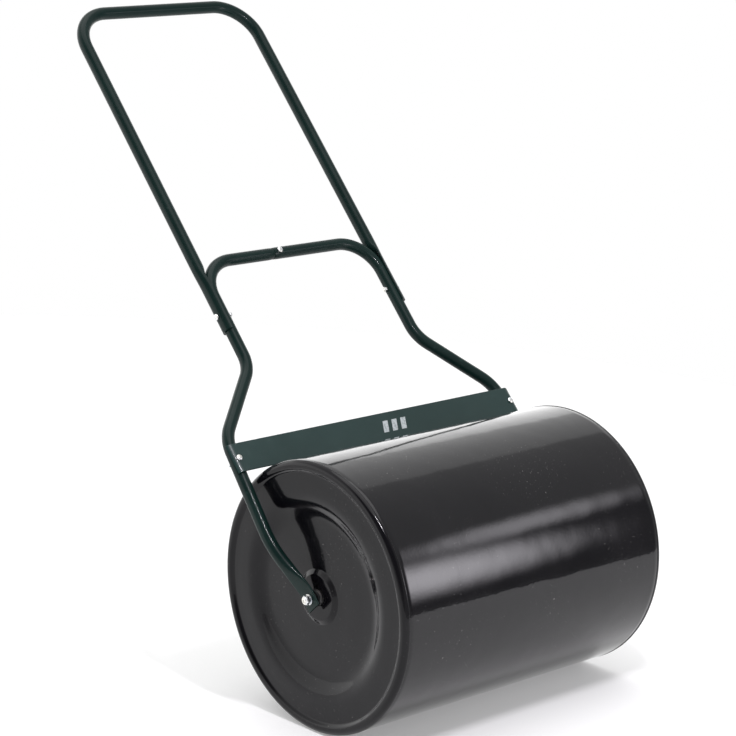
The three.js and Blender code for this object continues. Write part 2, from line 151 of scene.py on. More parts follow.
class Finish:
    """A Principled material whose patterns are worked out from Object coordinates."""

    def __init__(self, name):
        self.material = bpy.data.materials.new(name)
        self.material.use_nodes = True
        self.tree = self.material.node_tree
        self.shader = self.tree.nodes["Principled BSDF"]
        self.place = self.tree.nodes.new("ShaderNodeTexCoord").outputs["Object"]

    def noise(self, scale, detail=2.0, stretch=(1, 1, 1)):
        """Cloudy noise with about scale lumps to the metre, more along a stretched axis."""
        mapping = self.tree.nodes.new("ShaderNodeMapping")
        mapping.inputs["Scale"].default_value = stretch
        self.tree.links.new(self.place, mapping.inputs["Vector"])
        noise = self.tree.nodes.new("ShaderNodeTexNoise")
        noise.inputs["Scale"].default_value = scale
        noise.inputs["Detail"].default_value = detail
        self.tree.links.new(mapping.outputs["Vector"], noise.inputs["Vector"])
        return noise.outputs["Fac"]

    def between(self, value, low, high, out_low=0.0, out_high=1.0):
        """Maps a value from low..high to out_low..out_high and holds it there outside."""
        node = self.tree.nodes.new("ShaderNodeMapRange")
        for socket, number in zip(("From Min", "From Max", "To Min", "To Max"),
                                  (low, high, out_low, out_high)):
            node.inputs[socket].default_value = number
        self.tree.links.new(value, node.inputs["Value"])
        return node.outputs["Result"]

    def math(self, kind, first, second):
        """One arithmetic step between two values."""
        node = self.tree.nodes.new("ShaderNodeMath")
        node.operation = kind
        for socket, value in zip(node.inputs, (first, second)):
            if isinstance(value, (int, float)):
                socket.default_value = value
            else:
                self.tree.links.new(value, socket)
        return node.outputs["Value"]

    def mixed(self, amount, first, second):
        """The first colour where amount is 0 and the second where it is 1."""
        node = self.tree.nodes.new("ShaderNodeMix")
        node.data_type = "RGBA"
        self.tree.links.new(amount, node.inputs[0])
        for socket, colour in zip((node.inputs[6], node.inputs[7]), (first, second)):
            if isinstance(colour, tuple):
                socket.default_value = (*colour, 1)
            else:
                self.tree.links.new(colour, socket)
        return node.outputs[2]

    def bump(self, height, strength, distance, under=None):
        """Raises the surface by height, on top of an earlier bump if there is one."""
        node = self.tree.nodes.new("ShaderNodeBump")
        node.inputs["Strength"].default_value = strength
        node.inputs["Distance"].default_value = distance
        self.tree.links.new(height, node.inputs["Height"])
        if under is not None:
            self.tree.links.new(under, node.inputs["Normal"])
        return node.outputs["Normal"]

    def wire(self, **sockets):
        """Links or sets the shader's sockets; an underscore stands for a space."""
        for name, value in sockets.items():
            socket = self.shader.inputs[name.replace("_", " ")]
            if isinstance(value, bpy.types.NodeSocket):
                self.tree.links.new(value, socket)
            else:
                socket.default_value = value
        return self.material


def gloss_black(name, coat):
    """Sprayed black gloss: a clear wet coat with orange peel, faint scuffs round the drum, dust."""
    paint = Finish(name)
    cloud = paint.noise(9, 4)
    peel = paint.noise(260, 2)
    scuff = paint.noise(34, 3, (14, 0.5, 0.5))
    speck = paint.noise(420, 1)
    dust = paint.math("MULTIPLY", paint.between(speck, 0.73, 0.78), paint.between(cloud, 0.45, 0.62))
    film = paint.mixed(paint.between(cloud, 0.3, 0.7),
                       (0.0030, 0.0028, 0.0040), (0.0052, 0.0048, 0.0062))
    colour = paint.mixed(dust, film, (0.16, 0.155, 0.15))
    rough = paint.math("ADD", paint.between(cloud, 0.3, 0.75, 0.12, 0.20),
                       paint.between(scuff, 0.58, 0.75, 0.0, 0.08))
    waves = paint.bump(paint.noise(22, 1), 0.10, 0.004)
    normal = paint.bump(peel, 0.05, 0.0008, waves)
    return paint.wire(Base_Color=colour, Roughness=rough, Normal=normal, IOR=1.5,
                      Specular_IOR_Level=0.10, Coat_Weight=coat, Coat_Roughness=0.035,
                      Coat_IOR=1.38, Coat_Normal=normal)


black = gloss_black("gloss_black", 0.85)


def sheet_waves(angle, x):
    """Waviness of the rolled sheet: slow swells round and along it, and the dressed weld line."""
    swell = np.sin(3 * angle + 1.3) + np.sin(5 * angle - 9 * x) + np.sin(2 * angle + 13 * x + 0.7)
    turn = (angle - seam_angle + math.pi) % (2 * math.pi) - math.pi
    weld = np.exp(-(turn * drum_radius / 0.004) ** 2)
    return wave_depth * (1 + swell / 3) * (1 - weld) + bead_height * (1 - weld)


edge_round = 0.0008
along = np.linspace(-drum_half + edge_round, drum_half - edge_round, 72)
outer_edge = drum_radius
inner_edge = drum_radius - sheet
shoulder = outer_edge - 0.3 * edge_round
shoulder_half = drum_half - 0.3 * edge_round
shell_profile = [(outer_edge - edge_round, -drum_half), (shoulder, -shoulder_half)]
shell_profile += [(outer_edge, x) for x in along]
shell_profile += [(shoulder, shoulder_half), (outer_edge - edge_round, drum_half)]
shell_profile += [(inner_edge, x) for x in np.linspace(drum_half, -drum_half, 9)]
shell_rings = turned(shell_profile, 320, (0, 0, axle_height), ripple=sheet_waves)
shell = skinned("drum_shell_skin", shell_rings, True)
finished(shell, "drum", "black_paint", black, "drum_shell")

# ---------------------------------------------------------------------------------------------
# End plates. Pressed steel discs with a rounded rim, a dish stepped inwards and a small boss
# round the axle; the rim is welded to the shell. The far plate has the hole of the filler.
plate_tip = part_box("end_plate_right")[1].x
plate_radius = drum_radius - sheet / 2
knuckle_top = plate_tip - sheet / 2
knuckle_outer, knuckle_inner = 0.0072, 0.0060      # bend radii of the rounded edge
rim_face = plate_tip - 0.0050
rim_radius = 0.1832
dish_face = plate_tip - 0.0150
dish_outer, dish_inner, dish_bend = 0.1440, 0.1220, 0.0460
boss_face = plate_tip - 0.0105
boss_outer, boss_inner, boss_hole = 0.0410, 0.0335, 0.0125


def bent_line(corners, turn_step=6.0, longest=0.02):
    """A line through corners (u, v, radius): straight stretches no longer than a limit, and an arc
    of the given radius at each corner. Returns its points and its unit direction at each point."""
    marks = [np.array(corners[0][:2])]
    headings = []
    for before, corner, after in zip(corners, corners[1:], corners[2:]):
        here, radius = np.array(corner[:2]), corner[2]
        coming = here - np.array(before[:2])
        going = np.array(after[:2]) - here
        coming, going = coming / np.linalg.norm(coming), going / np.linalg.norm(going)
        turn = math.atan2(coming[0] * going[1] - coming[1] * going[0], coming @ going)
        start = here - coming * radius * math.tan(abs(turn) / 2)
        side = np.array([-coming[1], coming[0]]) * math.copysign(1, turn)
        steps = max(2, round(abs(math.degrees(turn)) / turn_step))
        swing = np.linspace(0, turn, steps + 1)[:, None]
        centre = start + side * radius
        spoke = -side * radius
        arc = centre + spoke * np.cos(swing) + np.array([-spoke[1], spoke[0]]) * np.sin(swing)
        marks.append(arc)
        headings.append(coming * np.cos(swing) + np.array([-coming[1], coming[0]]) * np.sin(swing))
    marks.append(np.array(corners[-1][:2]))
    points, directions = [], []
    last = marks[0]
    for arc, heading in zip(marks[1:-1], headings):
        count = max(1, math.ceil(np.linalg.norm(arc[0] - last) / longest))
        share = np.arange(count)[:, None] / count
        points += [last + (arc[0] - last) * share, arc[:-1]]
        directions += [np.repeat(heading[:1], count, 0), heading[:-1]]
        last = arc[-1]
    count = max(1, math.ceil(np.linalg.norm(marks[-1] - last) / longest))
    share = np.linspace(0, 1, count + 1)[:, None]
    points.append(last + (marks[-1] - last) * share)
    final = (marks[-1] - last) / np.linalg.norm(marks[-1] - last)
    directions.append(np.repeat(final[None], count + 1, 0))
    return np.vstack(points), np.vstack(directions)


def sheet_profile(line, directions, thickness):
    """Closed outline of a bent sheet: its middle line moved half its thickness to either side."""
    side = np.stack([-directions[:, 1], directions[:, 0]], -1) * thickness / 2
    return np.vstack([line + side, (line - side)[::-1]])


plate_line = bent_line([
    (plate_radius, drum_half + 0.0003, 0),
    (plate_radius, knuckle_top, knuckle_outer),
    (0.1880, knuckle_top, knuckle_inner),
    (rim_radius, rim_face, 0.0050),
    (dish_outer, rim_face, dish_bend),
    (dish_inner, dish_face, dish_bend),
    (boss_outer, dish_face, 0.0040),
    (boss_inner, boss_face, 0.0030),
    (boss_hole, boss_face, 0),
])
plate_profile = sheet_profile(*plate_line, sheet)


def pressed_waves(angle, height):
    """A pressed plate is never quite true: its radius breathes by a few hundredths of a millimetre."""
    return 0.00004 * (1 + np.sin(4 * angle + 0.6)) + 0 * height


def end_plate(side):
    """One end plate, turned about the axle; the left one is the right one facing the other way."""
    profile = plate_profile * (1, side)
    return turned(profile, 256, (0, 0, axle_height), ripple=pressed_waves)


plate_black = gloss_black("plate_black", 0.45)
left_plate = skinned("end_plate_left_skin", end_plate(-1), True, 50)
finished(left_plate, "drum", "black_paint", plate_black, "end_plate_left")
right_plate = skinned("end_plate_right_skin", end_plate(1), True, 50)

filler_low, filler_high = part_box("filler_collar")
filler_place = (0, (filler_low.y + filler_high.y) / 2, (filler_low.z + filler_high.z) / 2)
collar_radius = (filler_high.z - filler_low.z) / 2
hole_radius = collar_radius + 0.0004
hole_low, hole_high = dish_face - 0.02, dish_face + 0.02
hole_profile = [(0, hole_low), (hole_radius, hole_low), (hole_radius, hole_high), (0, hole_high)]
drill = skinned("filler_drill", turned(hole_profile, 64, filler_place), True)
cut = right_plate.modifiers.new("filler_hole", "BOOLEAN")
cut.object = drill
cut.solver = "EXACT"
bpy.context.view_layer.update()
cut_mesh = bpy.data.meshes.new_from_object(
    right_plate.evaluated_get(bpy.context.evaluated_depsgraph_get()))
right_plate.modifiers.clear()
right_plate.data = cut_mesh
bpy.data.objects.remove(drill)
finished(right_plate, "drum", "black_paint", plate_black, "end_plate_right")

# ---------------------------------------------------------------------------------------------
# Rim welds. A thin bead runs round each end where the plate meets the shell, laid in short
# overlapping pools and painted over with the drum.
pool_length = 0.0042
bead_radius = 0.0011


def weld_ring(side):
    """A ring whose section swells and shrinks pool by pool, leaning over the seam."""
    around = 1800
    angle = np.arange(around)[:, None] * 2 * math.pi / around
    turn = np.arange(12)[None, :] * 2 * math.pi / 12
    pools = angle * drum_radius / pool_length
    swell = 0.66 + 0.34 * np.abs(np.cos(math.pi * pools)) + 0.06 * np.sin(7.3 * angle + 2)
    section = bead_radius * swell
    radius = drum_radius - bead_radius * 1.06 + section * np.cos(turn)
    x = side * (drum_half + 0.0002) + section * np.sin(turn)
    return np.stack([x, radius * np.sin(angle), axle_height + radius * np.cos(angle)], -1)


for side, word in ((-1, "left"), (1, "right")):
    finished(skinned(f"rim_weld_{word}", weld_ring(side), True, 80), "drum", "black_paint", black)

# ---------------------------------------------------------------------------------------------
# Filler. A turned steel collar welded in the far plate takes a moulded screw plug with a
# hexagonal grip, sealed by a flat rubber ring; water or sand goes in here.
seal_low, seal_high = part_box("plug_seal")
plug_low, plug_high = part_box("filler_plug")
chamfer = 0.0004


def hexagon(flats):
    """Cap on the radius that cuts a turned piece to a hexagon of that width across its flats."""
    return lambda angle: flats / 2 / np.cos((angle + math.pi / 6) % (math.pi / 3) - math.pi / 6)


def ring_profile(inner, outer, low, high, edge=0.0004):
    """Closed outline of a plain ring with all four edges broken by a small chamfer."""
    return [(inner + edge, low), (outer - edge, low), (outer, low + edge), (outer, high - edge),
            (outer - edge, high), (inner + edge, high), (inner, high - edge), (inner, low + edge)]


def bare_steel():
    """Plain drawn steel: turning marks along it and a little brown in the hollows."""
    metal = Finish("bare_steel")
    cloud = metal.noise(60, 3)
    grain = metal.noise(150, 2, (12, 1, 1))
    colour = metal.mixed(metal.between(cloud, 0.4, 0.7), (0.42, 0.42, 0.43), (0.28, 0.23, 0.19))
    rough = metal.between(grain, 0.3, 0.7, 0.30, 0.48)
    return metal.wire(Base_Color=colour, Roughness=rough, Metallic=1.0,
                      Normal=metal.bump(grain, 0.15, 0.0003))


def moulded_nylon():
    """Black moulded nylon: dull, with the fine texture of the mould and lighter rubbed patches."""
    plastic = Finish("moulded_nylon")
    cloud = plastic.noise(80, 3)
    grain = plastic.noise(1600, 2)
    colour = plastic.mixed(plastic.between(cloud, 0.4, 0.8),
                           (0.010, 0.010, 0.011), (0.022, 0.022, 0.023))
    rough = plastic.between(cloud, 0.3, 0.8, 0.34, 0.52)
    return plastic.wire(Base_Color=colour, Roughness=rough, Normal=plastic.bump(grain, 0.12, 0.0002))


def seal_rubber():
    """Matt black rubber with a trace of bloom."""
    rubber = Finish("seal_rubber")
    cloud = rubber.noise(140, 3)
    colour = rubber.mixed(rubber.between(cloud, 0.4, 0.75),
                          (0.012, 0.012, 0.012), (0.035, 0.034, 0.033))
    rough = rubber.between(cloud, 0.3, 0.8, 0.72, 0.9)
    return rubber.wire(Base_Color=colour, Roughness=rough, Normal=rubber.bump(cloud, 0.2, 0.0004))


steel = bare_steel()
nylon = moulded_nylon()
collar_bore = 0.0090
seal_radius = 0.0124
collar = ring_profile(collar_bore, collar_radius, filler_low.x, filler_high.x)
finished(skinned("filler_collar_turned", turned(collar, 64, filler_place), True),
         "drum", "bare_steel", steel, "filler_collar")
seal = ring_profile(collar_bore, seal_radius, seal_low.x, seal_high.x, 0.0005)
finished(skinned("plug_seal_ring", turned(seal, 64, filler_place), True),
         "drum", "seal_rubber", seal_rubber(), "plug_seal")

flange_low = seal_high.x + 0.0003
flange_high = flange_low + 0.0020
grip_flats = 0.0147
flange_rim = 0.0125
head_profile = [(0, flange_low), (flange_rim - chamfer, flange_low),
                (flange_rim, flange_low + chamfer), (flange_rim, flange_high - chamfer),
                (flange_rim - chamfer, flange_high), (0.0086, flange_high)]
head_profile += [(0.0083, flange_high + 0.0004), (0.0085, plug_high.x - 0.0010),
                 (0.0074, plug_high.x), (0.0050, plug_high.x),
                 (0.0046, plug_high.x - 0.0006), (0, plug_high.x - 0.0006)]


def plug_rim(angle):
    """Only the grip is hexagonal: the cap reaches the profile's points past the flange."""
    hexed = np.broadcast_to(hexagon(grip_flats)(angle), (len(angle), len(head_profile))).copy()
    hexed[:, :6] = 1.0
    return hexed


plug_head = skinned("filler_plug_head", turned(head_profile, 72, filler_place, rim=plug_rim), True)
finished(plug_head, "drum", "nylon", nylon, "filler_plug")


def threaded(radius, depth, pitch, low, high, plain_low, plain_high, origin, axis, columns=32):
    """Rings of a rod whose surface is a spiral groove: radius falls by depth times a triangle wave
    of (height / pitch - turn). Between plain_low and plain_high the rod is smooth."""
    step = pitch / 6
    heights = np.concatenate([np.arange(low, plain_low, step), [plain_low, plain_high],
                              np.arange(plain_high + step, high, step), [high]])
    heights = np.unique(np.clip(heights, low, high))[:, None]
    angle = (-math.pi / 2 + (np.arange(columns) + 0.5) * 2 * math.pi / columns)[None, :]
    wave = np.abs(2 * ((heights / pitch - angle / (2 * math.pi)) % 1) - 1)
    cutting = ((heights < plain_low) | (heights > plain_high)).astype(float)
    tip = np.minimum(heights - low, high - heights)
    lead = np.clip(1 - tip / 0.0012, 0, 1) * depth * 1.3
    reach = radius - np.maximum(depth * wave * cutting, lead)
    axis = np.array(axis, float)
    first = np.cross(axis, (0, 1, 0)) if abs(axis[1]) < 0.5 else np.cross(axis, (1, 0, 0))
    first /= np.linalg.norm(first)
    second = np.cross(axis, first)
    out = np.cos(angle)[..., None] * first + np.sin(angle)[..., None] * second
    return np.array(origin, float) + heights[..., None] * axis + reach[..., None] * out


thread_end = flange_low + 0.0005
plug_thread = threaded(0.0084, 0.0008, 0.0025, plug_low.x, thread_end, flange_low, thread_end,
                       filler_place, (1, 0, 0), 40)
finished(skinned("filler_plug_thread", plug_thread, sharp=60), "drum", "nylon", nylon)

# ---------------------------------------------------------------------------------------------
# Axle sleeve and bushes. A steel tube runs through the drum and is welded to both plates; a
# flanged nylon bush pressed in each end carries the rod.
sleeve_low, sleeve_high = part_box("axle_sleeve")
sleeve_radius = 0.012
axle_centre = (0, 0, axle_height)
sleeve_bore = 0.0100
sleeve_profile = ring_profile(sleeve_bore, sleeve_radius, sleeve_low.x, sleeve_high.x)
finished(skinned("axle_sleeve_tube", turned(sleeve_profile, 64, axle_centre), True),
         "drum", "bare_steel", steel, "axle_sleeve")

bush_depth = 0.025
bush_bore = 0.00435
bush_outer, bush_flange = 0.0096, 0.0130
flange_thickness = 0.003
for side, word in ((-1, "left"), (1, "right")):
    low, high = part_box(f"bearing_bush_{word}")
    flange = max(abs(low.x), abs(high.x))
    shoulder = flange - flange_thickness
    bottom = shoulder - bush_depth
    bush_profile = [(bush_bore, bottom), (bush_outer - 0.0001, bottom),
                    (bush_outer, bottom + chamfer), (bush_outer, shoulder),
                    (bush_flange - chamfer, shoulder), (bush_flange, shoulder + chamfer),
                    (bush_flange, flange - 0.0008), (bush_flange - 0.0008, flange),
                    (bush_bore + 0.0006, flange), (bush_bore, flange - 0.0006)]
    bush = turned([(r, side * x) for r, x in bush_profile], 64, axle_centre)
    finished(skinned(f"bearing_bush_{word}_turned", bush, True), "drum", "nylon", nylon,
             f"bearing_bush_{word}")

# ---------------------------------------------------------------------------------------------
# Axle rod with its spacers, washers and nuts. A zinc-plated rod, threaded at both ends, goes
# through the flattened feet of the frame; a nut on a washer clamps each foot against its spacer.


def bright_zinc():
    """Bright zinc plating: cold silver with faint blue and straw clouds and a fine spangle."""
    metal = Finish("bright_zinc")
    cloud = metal.noise(90, 3)
    spangle = metal.noise(700, 2)
    colour = metal.mixed(metal.between(cloud, 0.35, 0.65), (0.80, 0.83, 0.87), (0.86, 0.84, 0.78))
    rough = metal.between(spangle, 0.3, 0.7, 0.20, 0.36)
    return metal.wire(Base_Color=colour, Roughness=rough, Metallic=1.0,
                      Normal=metal.bump(spangle, 0.10, 0.0002))


zinc = bright_zinc()
rod_low, rod_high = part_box("axle_rod")
thread_length = 0.022
rod_radius, rod_thread_depth, rod_pitch = 0.0040, 0.0006, 0.00125
rod = threaded(rod_radius, rod_thread_depth, rod_pitch, rod_low.x, rod_high.x,
               rod_low.x + thread_length, rod_high.x - thread_length, axle_centre, (1, 0, 0))
finished(skinned("axle_rod_threaded", rod, sharp=60), "frame", "zinc", zinc, "axle_rod")


def nut_rings(flats, bore, low, high, origin, axis):
    """A hexagonal nut: a turned blank with coned faces and a countersunk bore, cut to a hexagon."""
    corner = flats / math.sqrt(3)
    cone = 0.10 * flats
    blank = [(bore + 0.0008, low), (flats * 0.47, low), (corner, low + cone), (corner, high - cone),
             (flats * 0.47, high), (bore + 0.0008, high), (bore, high - 0.0008), (bore, low + 0.0008)]
    return turned(blank, 72, origin, axis, rim=hexagon(flats))


loose_bore = rod_radius + 0.0003
spacer_radius, washer_radius = 0.0100, 0.0080
axle_nut_flats = 0.013
for word in ("left", "right"):
    low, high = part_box(f"hub_spacer_{word}")
    spacer = ring_profile(loose_bore, spacer_radius, low.x, high.x)
    finished(skinned(f"hub_spacer_{word}_turned", turned(spacer, 64, axle_centre), True),
             "frame", "nylon", nylon, f"hub_spacer_{word}")
    low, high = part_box(f"axle_washer_{word}")
    washer = ring_profile(loose_bore, washer_radius, low.x, high.x, 0.0003)
    finished(skinned(f"axle_washer_{word}_stamped", turned(washer, 64, axle_centre), True),
             "frame", "zinc", zinc, f"axle_washer_{word}")
    low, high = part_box(f"axle_nut_{word}")
    nut = nut_rings(axle_nut_flats, rod_radius - 0.0002, low.x, high.x, axle_centre, (1, 0, 0))
    finished(skinned(f"axle_nut_{word}_hexagon", nut, True, 25),
             "frame", "zinc", zinc, f"axle_nut_{word}")

# ---------------------------------------------------------------------------------------------
# Lower tubes. Two bent tubes, sprayed dark green, with their feet pressed flat for the axle.
# They meet in the crossbar, where the left one is swaged down and slides into the right one.
lean = math.radians(41.5)
up_frame = np.array([0, math.sin(lean), math.cos(lean)])
front_frame = np.array([0, -math.cos(lean), math.sin(lean)])
tube_radius = 0.0095
tube_wall = 0.0012
foot_half = 0.0016
foot_plane = 0.2612
crossbar_rise = 0.564
crossbar_bolt_x = -0.014
lap_x = crossbar_bolt_x - 0.010
press_top, press_bottom = 0.066, 0.014


def leaning(x, rise, front):
    """Points of the frame's own plane: x along the axle, rise up the lean, front out of its face."""
    x, rise, front = np.broadcast_arrays(x, rise, front)
    return (np.array(axle_centre) + x[..., None] * np.array([1.0, 0, 0])
            + rise[..., None] * up_frame + front[..., None] * front_frame)


def smooth_step(t):
    """Rises from 0 to 1 with level ends."""
    t = np.clip(t, 0, 1)
    return t * t * (3 - 2 * t)


def tube_rings(line, heading, radius, half, columns=40):
    """Rings of a tube pressed to a half thickness and keeping its girth: half-round edges of that
    radius, set apart by the length of wall that the pressing frees. half equal to radius is round."""
    angle = (-math.pi / 2 + (np.arange(columns) + 0.5) * 2 * math.pi / columns)[None, :]
    radius, half = (np.broadcast_to(v, len(line))[:, None] for v in (radius, half))
    apart = math.pi / 2 * (radius - half)
    across = half * np.cos(angle)
    front = half * np.sin(angle) + apart * np.sign(np.sin(angle))
    x = line[:, :1] + heading[:, 1:] * across
    rise = line[:, 1:] - heading[:, :1] * across
    return leaning(x, rise, front)


def green_enamel(name, film_low, film_high, shine):
    """Dark green powder coat: finely pimpled, and a shade lighter where it is thin or rubbed."""
    paint = Finish(name)
    cloud = paint.noise(14, 4)
    pimple = paint.noise(750, 2)
    rub = paint.noise(120, 4)
    film = paint.mixed(paint.between(cloud, 0.3, 0.7), film_low, film_high)
    worn = paint.between(rub, 0.66, 0.74, 0.0, 0.30)
    colour = paint.mixed(worn, film, (0.020, 0.048, 0.042))
    rough = paint.math("ADD", paint.between(cloud, 0.3, 0.7, 0.30, 0.40),
                       paint.between(rub, 0.5, 0.8, 0.0, 0.12))
    return paint.wire(Base_Color=colour, Roughness=rough, Normal=paint.bump(pimple, 0.07, 0.0004),
                      IOR=1.5, Specular_IOR_Level=shine, Coat_Weight=0.15, Coat_Roughness=0.05)


tube_green = green_enamel("tube_green", (0.0034, 0.0135, 0.0118), (0.0050, 0.0185, 0.0162), 0.12)


def lower_tube_line(start):
    """Middle line from the crossbar's lap, round the corner, down the leg and in to the foot."""
    return bent_line([
        (start, crossbar_rise, 0),
        (0.169, crossbar_rise, 0.060),
        (0.169, 0.379, 0.055),
        (0.270, 0.270, 0.065),
        (0.282, 0.092, 0.150),
        (foot_plane, 0.012, 0.040),
        (foot_plane, -0.015, 0),
    ], 3.0, 0.006)


def pressed_half(rise):
    """Half thickness of the leg at a height: full radius above the press, foot_half below it."""
    pressed = smooth_step((press_top - rise) / (press_top - press_bottom))
    return tube_radius + (foot_half - tube_radius) * pressed


def right_tube():
    """The outer half of the lap: its bore is drawn first, from inside out to the lip."""
    line, heading = lower_tube_line(lap_x)
    half = pressed_half(line[:, 1])
    bore = tube_radius - tube_wall
    lip = np.array([[0.050, bore], [lap_x + 0.0004, bore], [lap_x, bore + 0.0003],
                    [lap_x, tube_radius - 0.0004]])
    line = np.vstack([np.stack([lip[:, 0], np.full(len(lip), crossbar_rise)], -1), line[1:]])
    heading = np.vstack([np.repeat(heading[:1], len(lip), 0), heading[1:]])
    radius = np.concatenate([lip[:, 1], np.full(len(half) - 1, tube_radius)])
    return tube_rings(line, heading, radius, np.concatenate([lip[:, 1], half[1:]]))


def left_tube():
    """The inner half of the lap: a swaged neck that opens to the full tube, then mirrored over."""
    line, heading = lower_tube_line(-0.008)
    neck = smooth_step((line[:, 0] + lap_x - 0.0006) / 0.0035)
    on_bar = line[:, 1] > crossbar_rise - 0.001
    radius = np.where(on_bar, tube_radius - 0.0015 * (1 - neck), tube_radius)
    half = np.minimum(radius, pressed_half(line[:, 1]))
    rings = tube_rings(line, heading, radius, half)
    rings[..., 0] *= -1
    return rings


finished(skinned("lower_tube_left_bent", left_tube(), sharp=40),
         "frame", "green_paint", tube_green, "lower_tube_left")
finished(skinned("lower_tube_right_bent", right_tube(), sharp=40),
         "frame", "green_paint", tube_green, "lower_tube_right")

# ---------------------------------------------------------------------------------------------
# Fixings of the frame. Small zinc-plated domed bolts with hexagonal nuts: one through the
# crossbar's lap, two through the scraper bar, and two through the handle's saddles.
head_radius = 0.0048
head_height = 0.0030
shank_radius = 0.0025
nut_flats = 0.008
nut_height = 0.004
bolt_tip = 0.0055


def dome_bolt(name, seat, tip, axis):
    """A bolt from its domed head, a slice of a sphere with a short straight skirt, to its
    threaded tip. seat and tip are points; axis points out of the head."""
    axis = np.array(axis, float)
    length = float(np.dot(np.array(seat) - np.array(tip), axis))
    swing = np.linspace(0, math.pi / 2, 10)
    dome = [(head_radius * math.sin(t), 0.001 + (head_height - 0.001) * math.cos(t)) for t in swing]
    head = dome + [(head_radius - 0.0004, 0), (0, 0)]
    shank = threaded(shank_radius, 0.0004, 0.0008, -length, 0.0005, 0, 0.0005, seat, axis, 24)
    return (skinned(name + "_head", turned(head, 48, seat, axis), True),
            skinned(name + "_shank", shank, sharp=60))


def fixing(name, node_tag, seat, nut_place, axis):
    """Builds a bolt and its nut, both on one axis that points out of the head."""
    axis = np.array(axis, float)
    seat, nut_place = np.array(seat, float), np.array(nut_place, float)
    head, shank = dome_bolt(f"{name}_bolt{node_tag}", seat, nut_place - axis * bolt_tip, axis)
    finished(head, "frame", "zinc", zinc, f"{name}_bolt{node_tag}")
    finished(shank, "frame", "zinc", zinc)
    nut = nut_rings(nut_flats, shank_radius - 0.0001, -nut_height, 0, nut_place, axis)
    finished(skinned(f"{name}_nut{node_tag}_hexagon", nut, True, 25),
             "frame", "zinc", zinc, f"{name}_nut{node_tag}")


seat_gap = 0.0003
fixing("crossbar", "", leaning(crossbar_bolt_x, crossbar_rise, tube_radius + seat_gap),
       leaning(crossbar_bolt_x, crossbar_rise, -tube_radius - seat_gap), front_frame)

# ---------------------------------------------------------------------------------------------
# Scraper bar. A flat steel strip, its ends curled back round the two tubes and bolted there; it
# stands just off the drum and knocks wet soil from it. Three white slanted bars are printed on it.
scraper_low, scraper_high = 0.209, 0.255
scraper_back = 0.011
scraper_thickness = 0.0024
scraper_bolt_x = 0.274
scraper_bolt_rise = 0.231
curl_sweep = math.radians(48)
tail_length = 0.010


def strip_ring(half_width, half_thickness, edge, flats=12, arcs=5):
    """Section of a strip as (width, thickness) points: flat faces and edges rounded by arcs."""
    swing = (np.arange(arcs) + 0.5) / arcs * math.pi / 2
    corner = np.stack([-half_width + edge * (1 - np.cos(swing)),
                       half_thickness - edge + edge * np.sin(swing)], -1)
    width = np.linspace(-half_width + edge * 1.2, half_width - edge * 1.2, flats)
    face = np.stack([width, np.full(flats, half_thickness)], -1)
    outer = np.vstack([corner, face, corner[::-1] * (-1, 1)])
    return np.vstack([outer, outer[::-1] * (1, -1)])


def scraper_rings():
    """The strip's section carried along its middle line, which is straight between the tubes and
    then follows an arc back round each of them."""
    middle = scraper_back + scraper_thickness / 2
    corner = scraper_bolt_x + middle * math.tan(curl_sweep / 2)
    tail = corner + tail_length * math.cos(curl_sweep)
    tail_front = middle - tail_length * math.sin(curl_sweep)
    line, heading = bent_line([
        (-tail, tail_front, 0),
        (-corner, middle, middle),
        (corner, middle, middle),
        (tail, tail_front, 0),
    ], 4.0, 0.02)
    on_arc = np.abs(line[:, 0]) <= scraper_bolt_x + middle * math.sin(curl_sweep) + 0.0001
    line, heading = line[on_arc], heading[on_arc]
    section = strip_ring((scraper_high - scraper_low) / 2, scraper_thickness / 2, 0.0006)
    rise = (scraper_high + scraper_low) / 2 + section[None, :, 0]
    x = line[:, :1] - heading[:, 1:] * section[None, :, 1]
    front = line[:, 1:] + heading[:, :1] * section[None, :, 1]
    return leaning(x, rise, front)


scraper = skinned("scraper_bar_strip", scraper_rings(), sharp=40)
# The strip uses the tubes' green enamel mixed lighter: the extra lightness is painted reflection,
# standing in for the brighter light that the strip's broad front face reflects.
strip_green_painted_sheen = green_enamel("strip_green_painted_sheen", (0.0048, 0.0235, 0.0215), (0.0066, 0.0290, 0.0265), 0.42)
finished(scraper, "frame", "green_paint", strip_green_painted_sheen, "scraper_bar")
front_face = scraper_back + scraper_thickness

print_low, print_high = 0.222, 0.241
print_middle = 0.028
print_under, print_over = 0.00004, 0.00008
bar_step, bar_width, bar_slant = 0.0180, 0.0100, 0.0070


def printed_bars():
    """Three slanted bars side by side: thin prisms that stand print_over proud of the strip."""
    corner_x = np.array([0, bar_width, bar_width + bar_slant, bar_slant])
    corner_rise = np.array([print_low, print_low, print_high, print_high])
    front = front_face + np.array([-print_under, print_over])[:, None, None]
    first_x = print_middle - bar_step - (bar_width + bar_slant) / 2
    bar_x = first_x + bar_step * np.arange(3)[None, :, None]
    points = leaning(bar_x + corner_x, corner_rise, front)
    under, over = np.arange(4), np.arange(4) + 12
    sides = np.stack([under, np.roll(under, -1), np.roll(over, -1), over], -1)
    faces = np.vstack([under[::-1], over, sides])[None] + 4 * np.arange(3)[:, None, None]
    mesh = bpy.data.meshes.new("scraper_printed_bars")
    mesh.from_pydata(points.reshape(-1, 3).tolist(), [], faces.reshape(-1, 4).tolist())
    piece = bpy.data.objects.new("scraper_printed_bars", mesh)
    bpy.context.scene.collection.objects.link(piece)
    return piece


def white_print():
    """Screen-printed white ink, thin enough in places for the green to show through."""
    ink = Finish("white_print")
    thin = ink.between(ink.noise(300, 3), 0.5, 0.7)
    colour = ink.mixed(thin, (0.44, 0.48, 0.49), (0.24, 0.28, 0.28))
    return ink.wire(Base_Color=colour, Roughness=0.45)


